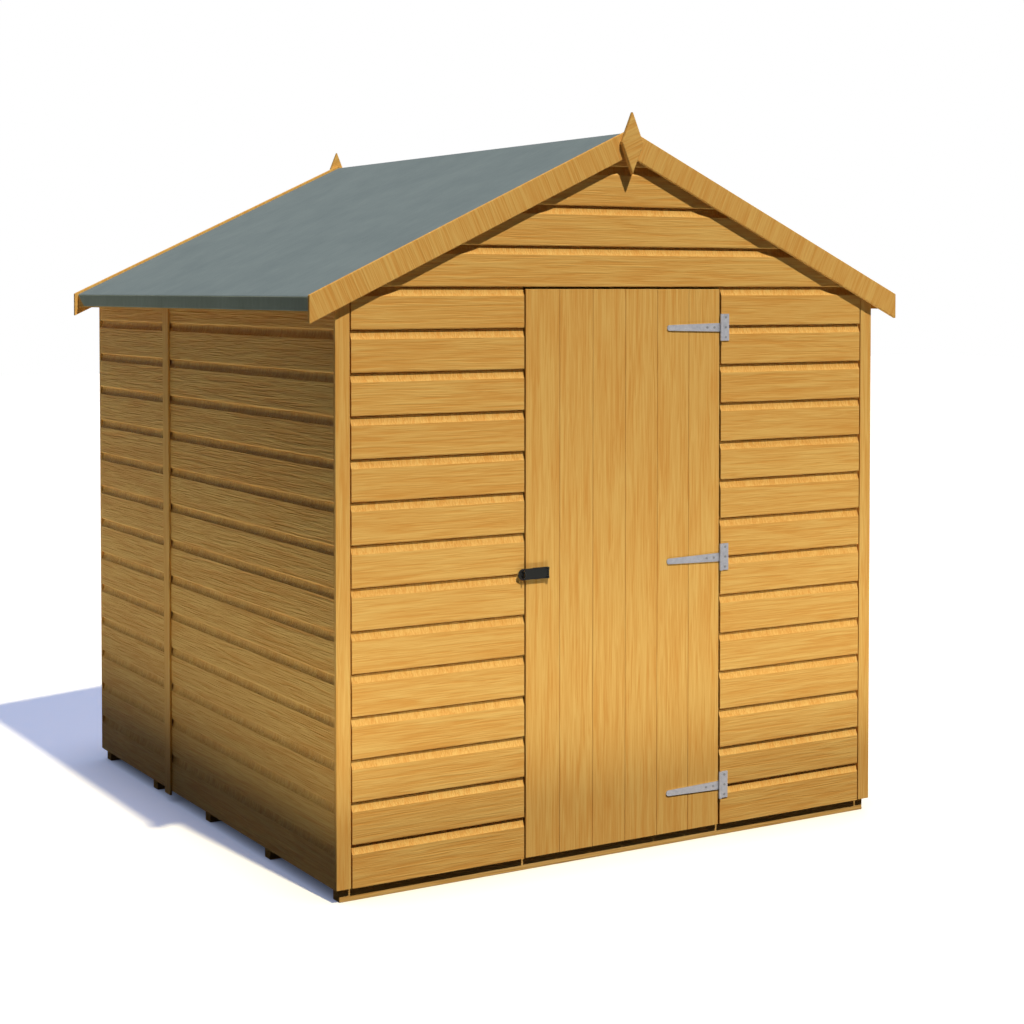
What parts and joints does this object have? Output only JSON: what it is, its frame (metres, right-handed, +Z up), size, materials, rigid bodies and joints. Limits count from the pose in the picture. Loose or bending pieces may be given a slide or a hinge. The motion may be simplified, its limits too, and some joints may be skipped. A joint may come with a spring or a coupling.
{
  "type": "wooden garden shed",
  "caption": "Small apex garden shed of horizontal boards on a timber frame, with a felted roof, bargeboards, finials, and a boarded door on tee hinges with a hasp.",
  "frame": {"origin": "on the ground, under the middle of the shed", "axes": "+Z up, front gable and door facing -Y, +X to the right seen from the front"},
  "size_m": [1.978, 1.916, 2.1025],
  "materials": {
    "stained_boards": "honey stain, satin",
    "frame_timber": "sawn softwood",
    "roof_felt": "mineral felt, grey-green",
    "galvanised_steel": "zinc plated, dull",
    "black_steel": "black, satin"
  },
  "bodies": {
    "shed": {"floor_bearers": "frame_timber", "floor_deck": "frame_timber", "front_wall_left": "stained_boards", "front_wall_right": "stained_boards", "front_gable": "stained_boards", "back_wall": "stained_boards", "left_wall_front": "stained_boards", "left_wall_rear": "stained_boards", "right_wall_front": "stained_boards", "right_wall_rear": "stained_boards", "front_wall_studs": "frame_timber", "front_wall_rails": "frame_timber", "front_rafters": "frame_timber", "back_wall_studs": "frame_timber", "back_wall_rails": "frame_timber", "back_rafters": "frame_timber", "left_wall_studs": "frame_timber", "left_wall_rails": "frame_timber", "right_wall_studs": "frame_timber", "right_wall_rails": "frame_timber", "front_corner_strips": "stained_boards", "back_corner_strips": "stained_boards", "left_joint_strip": "stained_boards", "right_joint_strip": "stained_boards", "left_roof_boards": "frame_timber", "right_roof_boards": "frame_timber", "left_roof_felt": "roof_felt", "right_roof_felt": "roof_felt", "eaves_battens": "frame_timber", "roof_purlins": "frame_timber", "ridge_beam": "frame_timber", "front_left_bargeboard": "stained_boards", "front_right_bargeboard": "stained_boards", "back_left_bargeboard": "stained_boards", "back_right_bargeboard": "stained_boards", "front_finial": "stained_boards", "back_finial": "stained_boards", "hinge_plates": "galvanised_steel", "hasp_staple": "black_steel"},
    "door": {"door_boards": "stained_boards", "door_ledges": "stained_boards", "door_braces": "stained_boards", "hinge_straps": "galvanised_steel", "hasp_plate": "black_steel"},
    "hasp": {"hasp_strap": "black_steel"}
  },
  "joints": [
    {"name": "door_hinge", "type": "hinge", "parent": "shed", "child": "door", "pos_m": [0.33275, -0.9285, 0.8235], "axis": [0, 0, 1], "range_deg": [0, 170]},
    {"name": "hasp_hinge", "type": "hinge", "parent": "door", "child": "hasp", "pos_m": [-0.2635, -0.9302, 0.8235], "axis": [0, 0, 1], "range_deg": [0, 170]}
  ]
}
